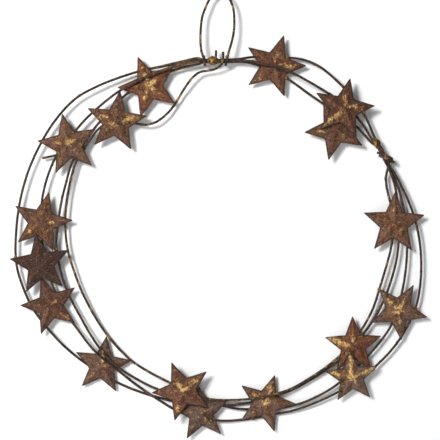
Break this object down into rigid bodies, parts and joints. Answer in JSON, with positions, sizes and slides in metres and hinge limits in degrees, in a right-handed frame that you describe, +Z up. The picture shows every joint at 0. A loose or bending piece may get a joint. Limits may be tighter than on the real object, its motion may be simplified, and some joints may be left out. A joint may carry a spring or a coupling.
{
  "type": "wire wreath frame with stamped stars",
  "caption": "Rusted wire wreath: loose round strands bound at a knot and a side tie, carrying stamped metal stars, hung from a hinged wire loop.",
  "frame": {"origin": "hanging point: the underside of the hanging loop's top bend, where a nail or hook bears", "axes": "+Z up with the wreath hung plumb, front of the wreath towards -Y, +X to the right seen from the front"},
  "size_m": [0.3142, 0.0152, 0.3362],
  "materials": {
    "wire": "rusted iron wire",
    "hanger_wire": "rusted iron wire",
    "star_sheet": "rusted stamped sheet iron",
    "solder": "dull brazed bead"
  },
  "bodies": {
    "hanger": {"hanger_loop": "hanger_wire"},
    "wreath": {"strand_outer": "wire", "strand_second": "wire", "strand_third": "wire", "strand_inner": "wire", "side_tie": "wire", "wire_tail": "wire", "knot_solder": "solder", "tie_solder": "solder", "star_solder": "solder", "star_01": "star_sheet", "star_02": "star_sheet", "star_03": "star_sheet", "star_04": "star_sheet", "star_05": "star_sheet", "star_06": "star_sheet", "star_07": "star_sheet", "star_08": "star_sheet", "star_09": "star_sheet", "star_10": "star_sheet", "star_11": "star_sheet", "star_12": "star_sheet", "star_13": "star_sheet", "star_14": "star_sheet", "star_15": "star_sheet", "star_16": "star_sheet", "star_17": "star_sheet"}
  },
  "joints": [
    {"name": "hanger_swing", "type": "hinge", "parent": "hanger", "child": "wreath", "pos_m": [0, 0, -0.0505], "axis": [1, 0, 0], "range_deg": [-120, 150]}
  ]
}
